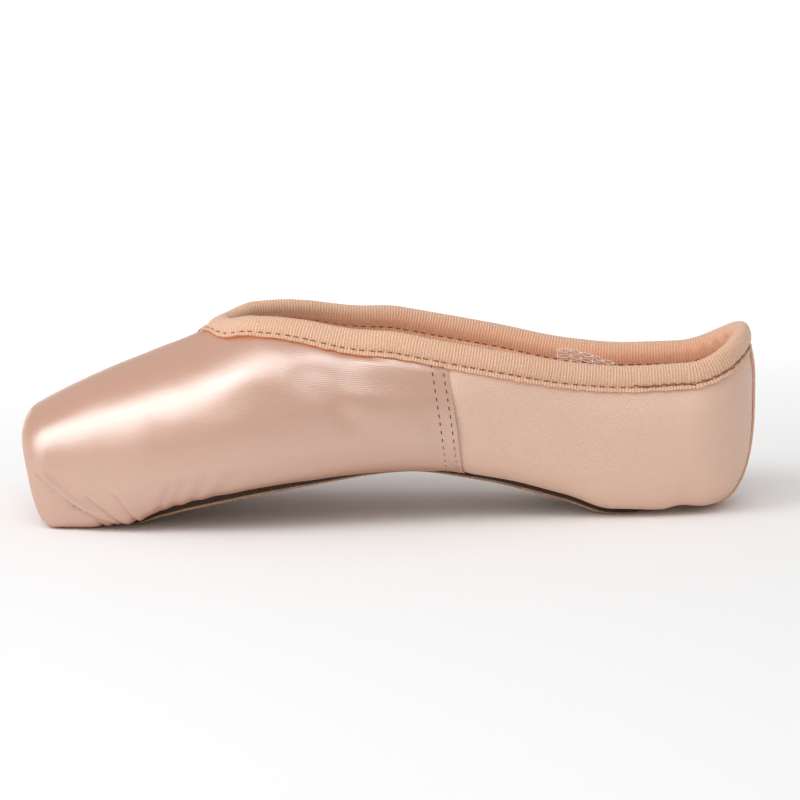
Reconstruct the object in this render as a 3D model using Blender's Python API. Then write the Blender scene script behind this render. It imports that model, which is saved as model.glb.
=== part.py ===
"""Pointe shoe, either foot, standing empty on its outsole.

The shoe is built round its last. A section of the last is known at every station, which is a
distance in millimetres from the toe tip. Behind the heel centre the sections turn about an upright
axis instead. The upper is that surface given a wall, and the other pieces are measured from it.

Toe towards -X, heel towards +X, floor at z = 0, the shoe symmetrical about y = 0.
Sizes are in millimetres, and place() and MM turn them to metres.
"""

import math

import bmesh
import bpy
from mathutils import Vector
from mathutils.bvhtree import BVHTree

MM = 0.001

# Driving dimensions.
LENGTH = 240.0              # overall, toe tip to the tape on the heel
GAP = 0.3                   # air left between pieces that are sewn or glued together
PLATFORM_HEIGHT = 34.0      # top edge of the flat toe tip
TOE_LEAN = 9.5              # degrees that the tip's top leans forward
LEAN_END = 60.0             # station where sections stand upright
EDGE_RADIUS = 4.5           # rounding of the tip's top edge
FOOT_RADIUS = 7.5           # rounding of the tip's bottom edge
CORNER_RADIUS = 9.0         # rounding of the tip's left and right edges
HEEL_CENTRE = 215.0         # station of the upright axis inside the heel
TAPE_THICKNESS = 0.8
HEEL_RADIUS = LENGTH - HEEL_CENTRE - GAP - TAPE_THICKNESS
THROAT = 66.0               # station of the front end of the collar

# Lines of the last: (station, value) pairs, joined by a smooth curve.
BOTTOM_LINE = ((0, 0.0), (34, 0.0), (45, 3.2), (58, 6.8), (90, 12.4), (125, 15.3), (150, 11.7),
               (176, 4.9), (192, 0.0), (206, 0.0), (214, 0.9), (222, 0.3), (240, 0.3))
SOLE_THICKNESS = ((0, 0.0), (20, 0.1), (27, 1.1), (44, 2.5), (70, 2.8), (125, 1.6), (150, 2.5),
                  (180, 2.8), (204, 1.6), (215, 1.1), (240, 0.8))
BOTTOM_WIDTH = ((0, 20.0), (25, 21.0), (45, 23.5), (65, 25.3), (80, 24.5), (115, 17.0),
                (150, 15.5), (190, 15.5), (215, 14.0))
WIDEST = ((0, 24.5), (12, 27.0), (25, 30.5), (45, 35.5), (70, 38.0), (95, 36.3), (125, 31.5),
          (165, 27.3), (215, 24.3))
WIDEST_HEIGHT = ((0, 17.0), (25, 18.0), (70, 25.0), (110, 33.0), (150, 32.0), (190, 27.0),
                 (215, 28.0))
TOP_LINE = ((0, 34.0), (12, 40.3), (25, 46.4), (45, 54.6), (58, 60.0), (66, 64.2), (76, 69.9),
            (83, 70.8), (91, 69.9), (105, 65.8), (123, 61.7), (156, 55.0), (180, 50.3), (198, 48.8),
            (215, 49.3))
TOP_WIDTH = ((66, 0.0), (78, 3.5), (90, 10.3), (105, 18.3), (123, 23.7), (136, 24.8), (150, 25.0),
             (180, 22.2), (215, 19.5))
TOP_LEAN = ((0, 90.0), (45, 90.0), (66, 80.0), (90, 58.0), (123, 26.0), (156, 14.0), (215, 9.0))
COLLAR_WIDTH = ((66, 0.0), (67, 4.5), (69, 8.0), (72, 11.0), (78, 14.0), (90, 17.4), (110, 21.7),
                (123, 23.7), (136, 24.8), (150, 25.0), (180, 22.2), (215, 19.5))
UPPER_FULLNESS = ((0, 0.72), (25, 0.66), (60, 0.58), (120, 0.55), (215, 0.5))
LOWER_FULLNESS = ((0, 0.70), (30, 0.66), (215, 0.66))
WALL = ((0, 2.8), (45, 2.6), (95, 1.7), (215, 1.6))
UNDER_OPENING = ((34, 0.0), (38, 8.0), (46, 13.0), (65, 17.0), (97, 13.0), (125, 8.0), (160, 7.5),
                 (184, 8.0), (190, 5.5), (193, 0.0))

# The heel's back section, in distance from the heel's upright axis.
BACK_BOTTOM_HEIGHT = 1.3
BACK_FLAT = 10.0
BACK_WIDEST_HEIGHT = 35.0
BACK_COLLAR_RADIUS = 20.8
BACK_COLLAR_HEIGHT = 58.8
BACK_LEAN = 17.0

# Outsole and insole.
SOLE_FRONT = 23.5
SOLE_REAR = 207.0
SOLE_WIDTH = ((23, 17.0), (38, 19.5), (50, 22.8), (65, 24.8), (80, 24.0), (97, 20.5), (115, 15.6),
              (130, 13.4), (150, 13.2), (170, 14.4), (205, 14.6))
SOLE_TIP_LENGTH = 13.0
SOLE_EDGE_DRAFT = 0.5
INSOLE_FRONT = 14.0
INSOLE_REAR = 228.0
INSOLE_THICKNESS = 1.5
INSOLE_LIFT = 0.7
INSOLE_MARGIN = 1.5
INSOLE_TIP_LENGTH = 12.0

# Collar binding.
BINDING_THICKNESS = 1.1
BINDING_GAP = 0.5
BINDING_LEG = ((0, 8.2), (5, 6.3), (9, 7.0), (13, 7.9), (30, 8.3), (55, 7.7), (80, 6.8),
               (400, 6.8))
BINDING_INNER_LEG = 7.6
BINDING_ROLL = 1.9

# Back seam tape.
TAPE_WIDTH = 9.0
TAPE_END = 208.5

FLAT_STEPS = 3
LOWER_STEPS = 6
UPPER_STEPS = 9
PROFILE_STEPS = FLAT_STEPS + LOWER_STEPS + UPPER_STEPS
FACE_RINGS = (0.0, 0.42, 0.78)
BODY_STATIONS = (0.0, 0.7, 1.8, 3.2, 4.5, 7.0, 10.0, 14.0, 19.0, 24.0, 29.0, 34.0, 38.0, 42.0,
                 46.0, 51.0, 56.0, 60.0, 63.0, 66.0, 67.0, 69.0, 72.0, 75.0, 78.0, 83.0, 90.0,
                 97.0, 105.0, 114.0, 123.0, 132.0, 141.0, 150.0, 160.0, 170.0, 180.0, 184.0,
                 190.0, 193.0, 198.0, 203.0, 209.0, 215.0)
HEEL_STEPS = 10

SATIN = (0.73, 0.49, 0.37)
RIBBON = (0.78, 0.47, 0.32)
LEATHER = (0.35, 0.22, 0.13)
LINING = (0.80, 0.72, 0.62)


def along(line, station):
    """Value of a line of the last at a station: a smooth curve that does not overshoot."""
    if station <= line[0][0]:
        return line[0][1]
    if station >= line[-1][0]:
        return line[-1][1]
    chords = [(b[1] - a[1]) / (b[0] - a[0]) for a, b in zip(line, line[1:])]
    slopes = [chords[0]]
    for before, after in zip(chords, chords[1:]):
        meets = before * after > 0.0
        slopes.append(2.0 * before * after / (before + after) if meets else 0.0)
    slopes.append(chords[-1])
    index = max(i for i, point in enumerate(line[:-1]) if point[0] <= station)
    (x0, y0), (x1, y1) = line[index], line[index + 1]
    span = x1 - x0
    t = (station - x0) / span
    start = (1.0 + 2.0 * t) * (1.0 - t) ** 2 * y0 + t * (1.0 - t) ** 2 * span * slopes[index]
    end = t * t * (3.0 - 2.0 * t) * y1 + t * t * (t - 1.0) * span * slopes[index + 1]
    return start + end


def place(station, across, height):
    """A point of the shoe in metres. Near the toe the sections lean forward at the top."""
    lean = math.radians(TOE_LEAN) * max(0.0, 1.0 - station / LEAN_END) ** 2
    forward = math.tan(lean) * (PLATFORM_HEIGHT - EDGE_RADIUS - height)
    return Vector((station + forward - LENGTH / 2.0, across, height)) * MM


def underside(station):
    """Height of the satin under the foot: the outsole lies below it."""
    return along(BOTTOM_LINE, station) + along(SOLE_THICKNESS, station) + GAP


def rounding(station, radius):
    """How far a rounded edge of the tip has drawn in at a station."""
    return radius - math.sqrt(max(0.0, radius ** 2 - max(0.0, radius - station) ** 2))


def bezier(points, t):
    a, b, c, d = (Vector(point) for point in points)
    u = 1.0 - t
    return a * u ** 3 + b * 3.0 * u * u * t + c * 3.0 * u * t * t + d * t ** 3


def kept_share(curve, half_width):
    """Share of a curve that lies outside the collar, found by halving."""
    if bezier(curve, 1.0).x >= half_width:
        return 1.0
    low, high = 0.0, 1.0
    for _ in range(30):
        share = (low + high) / 2.0
        if bezier(curve, share).x > half_width:
            low = share
        else:
            high = share
    return low


def profile(middle, flat, widest, top, lean, fullness, opening=0.0, collar=0.0):
    """Half section from underneath to the top, as (across, height) points.

    A flat bottom runs out to flat, a curve rises to the widest point, and a second curve leans in
    by lean degrees to the top point. The bottom starts at the opening under the insole, and the
    second curve is cut off where it reaches the collar.
    """
    lower_full, upper_full = fullness
    points = []
    for step in range(FLAT_STEPS):
        out = opening + (flat[0] - opening) * step / FLAT_STEPS
        points.append((out, middle + (flat[1] - middle) * out / flat[0]))
    out = lower_full * (widest[0] - flat[0])
    down = lower_full * (widest[1] - flat[1])
    lower = (flat, (flat[0] + out, flat[1]), (widest[0], widest[1] - down), widest)
    points += [bezier(lower, step / LOWER_STEPS) for step in range(LOWER_STEPS)]
    angle = math.radians(lean)
    rise = top[1] - widest[1]
    reach = (widest[0] - top[0]) * math.sin(angle) + rise * math.cos(angle)
    pull = upper_full * reach
    last_pull = (top[0] + pull * math.sin(angle), top[1] - pull * math.cos(angle))
    upper = (widest, (widest[0], widest[1] + upper_full * rise), last_pull, top)
    share = kept_share(upper, collar)
    points += [bezier(upper, share * step / UPPER_STEPS) for step in range(UPPER_STEPS + 1)]
    return [(point[0], point[1]) for point in points]


def body_profile(station):
    """Half section across the shoe, in front of the heel's axis."""
    bottom = underside(station)
    side_cut = rounding(station, CORNER_RADIUS)
    edge_cut = rounding(station, EDGE_RADIUS)
    foot_cut = rounding(station, FOOT_RADIUS)
    flat = (along(BOTTOM_WIDTH, station) - side_cut, bottom + foot_cut)
    widest = (along(WIDEST, station) - side_cut, along(WIDEST_HEIGHT, station))
    top = (along(TOP_WIDTH, station), along(TOP_LINE, station) - edge_cut)
    opening = 0.0
    if UNDER_OPENING[0][0] < station < UNDER_OPENING[-1][0]:
        opening = along(UNDER_OPENING, station)
    fullness = (along(LOWER_FULLNESS, station), along(UPPER_FULLNESS, station))
    lean = along(TOP_LEAN, station)
    collar = along(COLLAR_WIDTH, station)
    return profile(bottom + foot_cut, flat, widest, top, lean, fullness, opening, collar)


def heel_profile(angle):
    """Half section turned about the heel's axis: angle is 90 degrees at the side, 0 at the back."""
    towards_back = math.cos(angle)

    def turn(side, back, power=2.0):
        return side + (back - side) * towards_back ** power

    middle = underside(HEEL_CENTRE)
    flat = (turn(along(BOTTOM_WIDTH, HEEL_CENTRE), BACK_FLAT), turn(middle, BACK_BOTTOM_HEIGHT))
    widest = (turn(along(WIDEST, HEEL_CENTRE), HEEL_RADIUS),
              turn(along(WIDEST_HEIGHT, HEEL_CENTRE), BACK_WIDEST_HEIGHT))
    top = (turn(along(TOP_WIDTH, HEEL_CENTRE), BACK_COLLAR_RADIUS),
           turn(along(TOP_LINE, HEEL_CENTRE), BACK_COLLAR_HEIGHT))
    lean = turn(along(TOP_LEAN, HEEL_CENTRE), BACK_LEAN)
    fullness = (along(LOWER_FULLNESS, HEEL_CENTRE), along(UPPER_FULLNESS, HEEL_CENTRE))
    return profile(middle, flat, widest, top, lean, fullness)


def last_columns():
    """Columns of points on the last's left half, from the tip's middle to the back of the heel.

    Each entry is (points, wall thickness), and its points run from underneath to the top.
    """
    columns = []
    tip = body_profile(0.0)
    centre = (tip[0][1] + tip[-1][1]) / 2.0
    for ring in FACE_RINGS:
        points = [place(0.0, y * ring, centre + (z - centre) * ring) for y, z in tip]
        columns.append((points, along(WALL, 0.0)))
    for station in BODY_STATIONS:
        points = [place(station, y, z) for y, z in body_profile(station)]
        columns.append((points, along(WALL, station)))
    for step in range(1, HEEL_STEPS + 1):
        angle = math.pi / 2.0 * (1.0 - step / HEEL_STEPS)
        section = heel_profile(angle)
        points = [place(HEEL_CENTRE + r * math.cos(angle), r * math.sin(angle), z)
                  for r, z in section]
        columns.append((points, along(WALL, HEEL_CENTRE)))
    return columns


def material(name, colour, roughness):
    finish = bpy.data.materials.new(name)
    finish.use_nodes = True
    shader = finish.node_tree.nodes["Principled BSDF"]
    shader.inputs["Base Color"].default_value = (*colour, 1.0)
    shader.inputs["Roughness"].default_value = roughness
    shader.inputs["Metallic"].default_value = 0.0
    finish.diffuse_color = (*colour, 1.0)
    return finish


def make_object(name, mesh, finish):
    mesh.materials.append(finish)
    mesh.shade_smooth()
    mesh.set_sharp_from_angle(angle=math.radians(40.0))
    piece = bpy.data.objects.new(name, mesh)
    bpy.context.scene.collection.objects.link(piece)
    return piece


def grid_faces(rows, columns, close_rows=False):
    """Quads of a grid whose points are numbered row by row."""
    faces = []
    for row in range(rows if close_rows else rows - 1):
        here = row * columns
        there = (row + 1) % rows * columns
        faces += [(here + c, here + c + 1, there + c + 1, there + c) for c in range(columns - 1)]
    return faces


def loft(name, rings, finish, mirrored=False):
    """A solid through closed rings of equal length.

    It is capped at its ends, or mirrored across the shoe when its end rings lie on y = 0.
    """
    form = bmesh.new()
    made = [[form.verts.new(point) for point in ring] for ring in rings]
    for first, second in zip(made, made[1:]):
        for i in range(len(first)):
            j = (i + 1) % len(first)
            form.faces.new((first[i], first[j], second[j], second[i]))
    if mirrored:
        half = form.verts[:] + form.edges[:] + form.faces[:]
        bmesh.ops.mirror(form, geom=half, axis="Y", merge_dist=0.02 * MM)
    else:
        form.faces.new(made[0])
        form.faces.new(made[-1])
    bmesh.ops.remove_doubles(form, verts=form.verts, dist=0.01 * MM)
    bmesh.ops.recalc_face_normals(form, faces=form.faces)
    mesh = bpy.data.meshes.new(name)
    form.to_mesh(mesh)
    form.free()
    return make_object(name, mesh, finish)


def make_last_sheet():
    """Outer surface of the whole upper, as one open sheet facing out."""
    columns = last_columns()
    form = bmesh.new()
    wall = form.verts.layers.deform.verify()
    thickest = along(WALL, 0.0)
    for points, thickness in columns:
        for point in points:
            vertex = form.verts.new(point)
            vertex[wall][0] = thickness / thickest
    form.verts.ensure_lookup_table()
    for corners in grid_faces(len(columns), PROFILE_STEPS + 1):
        form.faces.new([form.verts[i] for i in corners])
    half = form.verts[:] + form.edges[:] + form.faces[:]
    bmesh.ops.mirror(form, geom=half, axis="Y", merge_dist=0.02 * MM)
    bmesh.ops.remove_doubles(form, verts=form.verts, dist=0.01 * MM)
    bmesh.ops.dissolve_degenerate(form, edges=form.edges, dist=0.001 * MM)
    bmesh.ops.recalc_face_normals(form, faces=form.faces)
    outwards = max(form.faces, key=lambda face: face.calc_center_median().x)
    if outwards.normal.x < 0.0:
        bmesh.ops.reverse_faces(form, faces=form.faces)
    return form


def build_upper(form, finish):
    """Satin upper with its box and lining: one wall, thick at the toe and thin at the quarters."""
    mesh = bpy.data.meshes.new("upper")
    form.to_mesh(mesh)
    upper = make_object("upper", mesh, finish)
    upper.vertex_groups.new(name="wall")
    solidify = upper.modifiers.new("wall", "SOLIDIFY")
    solidify.thickness = along(WALL, 0.0) * MM
    solidify.offset = -1.0
    solidify.vertex_group = "wall"
    solidify.use_quality_normals = True
    return upper


def tip_factor(distance, length):
    """Share of the full width at a distance from a rounded end."""
    if distance >= length:
        return 1.0
    return math.sqrt(max(0.0, 1.0 - (1.0 - distance / length) ** 2))


def sole_stations(front, rear, tip, steps):
    """Stations along a sole, close together in its rounded ends."""
    rounded = [tip * (1.0 - math.cos(math.pi / 2.0 * i / 5)) for i in range(1, 6)]
    middle = [front + tip + (rear - front - 2.0 * tip) * i / steps for i in range(1, steps)]
    return [front + d for d in rounded] + middle + [rear - d for d in reversed(rounded)]


def build_outsole(finish):
    """Thin leather outsole: it stops short of the toe tip and well short of the heel's back."""
    rings = []
    for station in sole_stations(SOLE_FRONT, SOLE_REAR, SOLE_TIP_LENGTH, 26):
        nearest = min(station - SOLE_FRONT, SOLE_REAR - station)
        half = along(SOLE_WIDTH, station) * tip_factor(nearest, SOLE_TIP_LENGTH)
        low = along(BOTTOM_LINE, station)
        high = low + along(SOLE_THICKNESS, station)
        foot = max(half - SOLE_EDGE_DRAFT, half * 0.8)
        rings.append([place(station, *corner) for corner in
                      ((-half, high), (-half, (low + high) / 2.0), (-foot, low), (foot, low),
                       (half, (low + high) / 2.0), (half, high))])
    return loft("outsole", rings, finish)


def build_insole(finish):
    """Cloth covered insole lying on the wall's inner face."""
    rings = []
    for station in sole_stations(INSOLE_FRONT, INSOLE_REAR, INSOLE_TIP_LENGTH, 26):
        nearest = min(station - INSOLE_FRONT, INSOLE_REAR - station)
        half = along(BOTTOM_WIDTH, station) - INSOLE_MARGIN
        half *= tip_factor(nearest, INSOLE_TIP_LENGTH)
        low = underside(station) + along(WALL, station) + INSOLE_LIFT
        high = low + INSOLE_THICKNESS
        rings.append([place(station, *corner) for corner in
                      ((-half, low), (half, low), (half, high), (-half, high))])
    return loft("insole", rings, finish)


def collar_edge(columns):
    """Top point, wall thickness and way along the edge for each column behind the throat."""
    first = len(FACE_RINGS) + BODY_STATIONS.index(THROAT)
    tops = [points[-1] for points, thickness in columns[first:]]
    walls = [thickness for points, thickness in columns[first:]]
    before = Vector((tops[1].x, -tops[1].y, tops[1].z))
    after = Vector((tops[-2].x, -tops[-2].y, tops[-2].z))
    chain = [before] + tops + [after]
    ways = [(chain[i + 2] - chain[i]).normalized() for i in range(len(tops))]
    return list(zip(tops, walls, ways))


def build_binding(sheet, columns, finish):
    """Ribbon folded over the collar's edge: two legs and a round roll on top."""
    surface = BVHTree.FromBMesh(sheet)
    rings = []
    travelled = 0.0
    previous = None
    for top, wall, way in collar_edge(columns):
        if previous is not None:
            travelled += (top - previous).length / MM
        previous = top
        face_out = surface.find_nearest(top)[1]
        down = face_out.cross(way).normalized()
        if down.z > 0.0:
            down.negate()
        leg = along(BINDING_LEG, travelled)
        on_edge = abs(top.y) < 0.001 * MM

        def skin(distance, offset):
            found, out = surface.find_nearest(top + down * distance * MM)[:2]
            if on_edge:
                found.y = 0.0
                out.y = 0.0
                out.normalize()
            return found + out * offset * MM

        def over(height, offset):
            return top - down * height * MM + face_out * offset * MM

        if on_edge:
            face_out.y = 0.0
            face_out.normalize()
            down.y = 0.0
            down.normalize()
        outside = BINDING_GAP + BINDING_THICKNESS
        inside = -wall - BINDING_GAP
        ring = [skin(leg, BINDING_GAP), skin(leg, outside - 0.1), skin(leg * 0.55, outside),
                skin(leg * 0.15, outside)]
        ring += [over(BINDING_ROLL * 0.65, BINDING_GAP + 0.55), over(BINDING_ROLL, -wall / 2.0),
                 over(BINDING_ROLL * 0.65, inside - 0.55)]
        ring += [skin(leg * 0.15, inside - BINDING_THICKNESS),
                 skin(BINDING_INNER_LEG * 0.55, inside - BINDING_THICKNESS),
                 skin(BINDING_INNER_LEG, inside - BINDING_THICKNESS + 0.1),
                 skin(BINDING_INNER_LEG, inside), skin(BINDING_INNER_LEG * 0.5, inside)]
        ring += [over(BINDING_GAP, inside), over(BINDING_GAP, BINDING_GAP), skin(leg * 0.5, BINDING_GAP)]
        rings.append(ring)
    return loft("binding", rings, finish, mirrored=True)


def build_back_seam_tape(sheet, finish):
    """Tape over the heel seam, from the binding down and under the heel to the outsole."""
    surface = BVHTree.FromBMesh(sheet)
    section = heel_profile(0.0)
    line = [place(HEEL_CENTRE + r, 0.0, z) for r, z in section if r > 0.0]
    under = place(TAPE_END, 0.0, underside(TAPE_END))
    run = [under, place(HEEL_CENTRE - 3.0, 0.0, underside(HEEL_CENTRE - 3.0))] + line
    stop = BACK_COLLAR_HEIGHT - BINDING_LEG[-1][1] - 0.8
    run = [point for point in run if point.z < stop * MM]
    half = TAPE_WIDTH / 2.0
    rings = []
    for point in run:
        low = []
        high = []
        for across in (-half, -half / 2.0, 0.0, half / 2.0, half):
            probe = point + Vector((0.0, across * MM, 0.0))
            found, out = surface.find_nearest(probe)[:2]
            low.append(found + out * GAP * MM)
            high.append(found + out * (GAP + TAPE_THICKNESS) * MM)
        rings.append(low + high[::-1])
    return loft("back_seam_tape", rings, finish)


def clear_scene():
    for item in list(bpy.data.objects):
        bpy.data.objects.remove(item, do_unlink=True)


def build_shoe():
    clear_scene()
    satin = material("satin", SATIN, 0.35)
    ribbon = material("ribbon", RIBBON, 0.7)
    leather = material("leather", LEATHER, 0.8)
    lining = material("lining", LINING, 0.9)
    sheet = make_last_sheet()
    columns = last_columns()
    build_upper(sheet, satin)
    build_outsole(leather)
    build_insole(lining)
    build_binding(sheet, columns, ribbon)
    build_back_seam_tape(sheet, ribbon)
    sheet.free()


build_shoe()
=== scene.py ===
"""Pointe shoe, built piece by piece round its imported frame, in the order that a maker sews it."""

import math

import bpy
import numpy as np
from mathutils import Matrix, Vector, noise
from mathutils.bvhtree import BVHTree


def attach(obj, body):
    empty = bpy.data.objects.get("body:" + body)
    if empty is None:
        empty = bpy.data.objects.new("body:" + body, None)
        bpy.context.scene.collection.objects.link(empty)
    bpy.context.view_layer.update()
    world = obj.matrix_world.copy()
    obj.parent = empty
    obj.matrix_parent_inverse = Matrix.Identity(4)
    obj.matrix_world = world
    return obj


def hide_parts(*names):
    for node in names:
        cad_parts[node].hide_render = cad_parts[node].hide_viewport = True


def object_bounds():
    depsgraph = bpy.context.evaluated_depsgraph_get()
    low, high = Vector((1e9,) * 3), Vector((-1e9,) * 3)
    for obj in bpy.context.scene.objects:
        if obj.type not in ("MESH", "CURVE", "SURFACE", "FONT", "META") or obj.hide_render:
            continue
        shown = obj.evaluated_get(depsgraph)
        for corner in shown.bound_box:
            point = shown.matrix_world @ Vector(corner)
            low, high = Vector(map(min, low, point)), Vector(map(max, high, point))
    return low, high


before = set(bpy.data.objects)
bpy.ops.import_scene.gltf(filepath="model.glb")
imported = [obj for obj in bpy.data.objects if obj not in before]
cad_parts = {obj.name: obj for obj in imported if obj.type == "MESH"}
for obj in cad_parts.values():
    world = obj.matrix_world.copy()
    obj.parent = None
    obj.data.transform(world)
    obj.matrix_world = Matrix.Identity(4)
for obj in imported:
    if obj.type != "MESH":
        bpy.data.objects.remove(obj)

cad_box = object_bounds()
bpy.ops.object.select_all(action="DESELECT")

# ---------------------------------------------------------------------------------------------
# Vamp: one sheet of satin over the box and the instep, cut on the straight grain. It is pulled
# down over the tip and gathered into pleats where the sole's front end holds it, and its two
# rear edges are folded and stitched over the quarters.
# ---------------------------------------------------------------------------------------------
# The wooden last that it is pulled over: nothing of it shows, and every sheet further down is
# laid on it too. Its lines are (millimetres from the toe tip, value) pairs, as in the part.
MM = 0.001
LENGTH = 240.0
GAP = 0.3
TIP_HEIGHT = 29.5
TOE_LEAN = 9.5
LEAN_END = 60.0
EDGE_RADIUS = 4.5
FOOT_RADIUS = 7.5
CORNER_RADIUS = 9.0
HEEL_CENTRE = 215.0
HEEL_RADIUS = 23.9
BOTTOM_LINE = ((0, 0.0), (34, 0.0), (45, 3.2), (58, 6.8), (90, 12.4), (125, 15.3), (150, 11.7),
               (176, 4.9), (192, 0.0), (206, 0.0), (214, 0.9), (222, 0.3), (240, 0.3))
SOLE_THICKNESS = ((0, 0.0), (20, 0.1), (27, 1.1), (44, 2.5), (70, 2.8), (125, 1.6), (150, 2.5),
                  (180, 2.8), (204, 1.6), (215, 1.1), (240, 0.8))
BOTTOM_WIDTH = ((0, 20.0), (25, 21.0), (45, 23.5), (65, 25.3), (80, 24.5), (115, 17.0),
                (150, 15.5), (190, 15.5), (215, 14.0))
WIDEST = ((0, 24.5), (12, 27.0), (25, 30.5), (45, 35.5), (70, 38.0), (95, 36.3), (125, 31.5),
          (165, 27.3), (215, 24.3))
WIDEST_HEIGHT = ((0, 17.0), (25, 18.0), (70, 25.0), (110, 33.0), (150, 32.0), (190, 27.0),
                 (215, 28.0))
TOP_LINE = ((0, 34.0), (12, 40.3), (25, 46.4), (45, 54.6), (58, 60.0), (66, 64.2), (76, 69.9),
            (83, 70.8), (91, 69.9), (105, 65.8), (123, 61.7), (156, 55.0), (180, 50.3), (198, 48.8),
            (215, 49.3))
TOP_WIDTH = ((66, 0.0), (78, 3.5), (90, 10.3), (105, 18.3), (123, 23.7), (136, 24.8), (150, 25.0),
             (180, 22.2), (215, 19.5))
TOP_LEAN = ((0, 90.0), (45, 90.0), (66, 80.0), (90, 58.0), (123, 26.0), (156, 14.0), (215, 9.0))
COLLAR_WIDTH = ((66, 0.0), (67, 4.5), (69, 8.0), (72, 11.0), (78, 14.0), (90, 17.4), (110, 21.7),
                (123, 23.7), (136, 24.8), (150, 25.0), (180, 22.2), (215, 19.5))
UPPER_FULLNESS = ((0, 0.72), (25, 0.66), (60, 0.58), (120, 0.55), (215, 0.5))
LOWER_FULLNESS = ((0, 0.70), (30, 0.66), (215, 0.66))
BACK = {"bottom": 1.3, "flat": 10.0, "widest_height": 35.0, "radius": 20.8, "height": 58.8,
        "lean": 17.0}
FACE_DEPTH = 24.0           # how far the flat tip counts as cloth before station 0
HEEL_ARC = HEEL_RADIUS * math.pi / 2.0
BACK_WAY = HEEL_CENTRE + HEEL_ARC


def along(line, station):
    """Value of one of the last's lines at a station: a smooth curve with no overshoot."""
    if station <= line[0][0]:
        return line[0][1]
    if station >= line[-1][0]:
        return line[-1][1]
    chords = [(b[1] - a[1]) / (b[0] - a[0]) for a, b in zip(line, line[1:])]
    slopes = [chords[0]]
    for before, after in zip(chords, chords[1:]):
        meets = before * after > 0.0
        slopes.append(2.0 * before * after / (before + after) if meets else 0.0)
    slopes.append(chords[-1])
    index = max(i for i, point in enumerate(line[:-1]) if point[0] <= station)
    (x0, y0), (x1, y1) = line[index], line[index + 1]
    span = x1 - x0
    t = (station - x0) / span
    start = (1.0 + 2.0 * t) * (1.0 - t) ** 2 * y0 + t * (1.0 - t) ** 2 * span * slopes[index]
    return start + t * t * (3.0 - 2.0 * t) * y1 + t * t * (t - 1.0) * span * slopes[index + 1]


def place(station, across, height):
    """A point of the shoe in metres. Near the toe the sections lean forward at the top."""
    lean = math.radians(TOE_LEAN) * max(0.0, 1.0 - station / LEAN_END) ** 2
    forward = math.tan(lean) * (TIP_HEIGHT - height)
    return np.array((station + forward - LENGTH / 2.0, across, height)) * MM


def underside(station):
    return along(BOTTOM_LINE, station) + along(SOLE_THICKNESS, station) + GAP


def rounding(station, radius):
    return radius - math.sqrt(max(0.0, radius ** 2 - max(0.0, radius - station) ** 2))


def bezier(points, t):
    a, b, c, d = (np.array(point) for point in points)
    t = np.asarray(t, float)[:, None]
    u = 1.0 - t
    return a * u ** 3 + b * 3.0 * u * u * t + c * 3.0 * u * t * t + d * t ** 3


def half_section(middle, flat, widest, top, lean, fullness, collar):
    """Fine half section of the last from underneath to its top, as (across, height) rows."""
    lower_full, upper_full = fullness
    share = np.linspace(0.0, 1.0, 12, endpoint=False)[:, None]
    floor = np.array((0.0, middle)) * (1.0 - share) + np.array(flat) * share
    out = lower_full * (widest[0] - flat[0])
    down = lower_full * (widest[1] - flat[1])
    lower = (flat, (flat[0] + out, flat[1]), (widest[0], widest[1] - down), widest)
    angle = math.radians(lean)
    rise = top[1] - widest[1]
    pull = upper_full * ((widest[0] - top[0]) * math.sin(angle) + rise * math.cos(angle))
    last_pull = (top[0] + pull * math.sin(angle), top[1] - pull * math.cos(angle))
    upper = bezier((widest, (widest[0], widest[1] + upper_full * rise), last_pull, top),
                   np.linspace(0.0, 1.0, 160))
    kept = upper[:, 0] >= collar
    if not kept.all():
        last = int(np.argmin(kept))
        inner, outer = upper[last], upper[last - 1]
        mix = (outer[0] - collar) / (outer[0] - inner[0])
        upper = np.vstack((upper[:last], outer + (inner - outer) * mix))
    return np.vstack((floor, bezier(lower, np.linspace(0.0, 1.0, 60, endpoint=False)), upper))


def travelled(points):
    """How far along a line each of its points lies."""
    steps = np.linalg.norm(np.diff(points, axis=0), axis=1)
    return np.concatenate(((0.0,), np.cumsum(steps)))


def at_travel(wanted, travel, values):
    """A line's points, or what goes with them, at the wanted travel."""
    return np.stack([np.interp(wanted, travel, axis) for axis in values.T], -1)


def evenly(points, count):
    """The same line, given count points that are evenly spaced, and its length."""
    travel = travelled(points)
    return at_travel(np.linspace(0.0, travel[-1], count), travel, points), travel[-1]


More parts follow.
